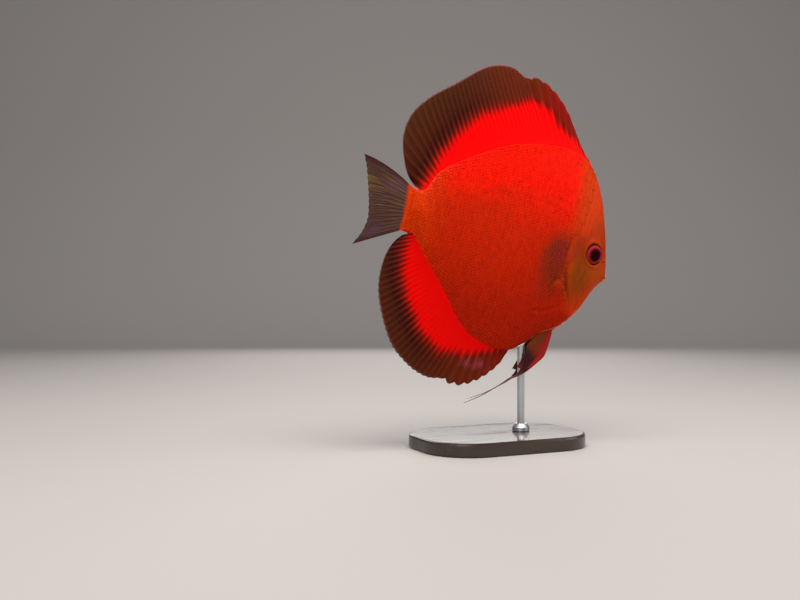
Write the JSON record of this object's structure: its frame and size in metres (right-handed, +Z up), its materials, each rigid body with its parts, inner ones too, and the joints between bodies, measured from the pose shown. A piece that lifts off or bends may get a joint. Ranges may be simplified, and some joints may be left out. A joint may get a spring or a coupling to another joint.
{
  "type": "discus fish",
  "caption": "Life-size display model of a deep, thin, disc-shaped aquarium fish with tall fins, held head-down over a low base by one rod.",
  "frame": {"origin": "centre of the underside of the stand's base", "axes": "+Z up, the fish's height; +Y across the fish, towards its left side; +X the way the fish faces, with its head 13 degrees down"},
  "size_m": [0.1718, 0.07, 0.2291],
  "materials": {
    "body": "scaly, with a satin sheen",
    "head": "smooth, with a satin sheen",
    "lips": "smooth and moist",
    "eye": "glassy",
    "dark_fins": "thin ribbed membrane, red at the base",
    "tail_fin": "thin ribbed membrane, greyish",
    "clear_fins": "thin ribbed membrane, nearly clear",
    "stand_base": "dark, waxed",
    "stand_rod": "brushed"
  },
  "bodies": {
    "root": {"head": "head", "torso": "body", "tail_base": "body", "gill_cover_right": "head", "gill_cover_left": "head", "lip_upper": "lips", "lip_lower": "lips", "eye_right": "eye", "eye_left": "eye", "dorsal_fin_spiny": "dark_fins", "dorsal_fin_soft": "dark_fins", "anal_fin_spiny": "dark_fins", "anal_fin_soft": "dark_fins", "tail_fin": "tail_fin", "pectoral_fin_right": "clear_fins", "pectoral_fin_left": "clear_fins", "pelvic_fin_right": "dark_fins", "pelvic_fin_left": "dark_fins", "stand_base": "stand_base", "stand_ferrule": "stand_rod", "stand_rod": "stand_rod"}
  },
  "joints": []
}
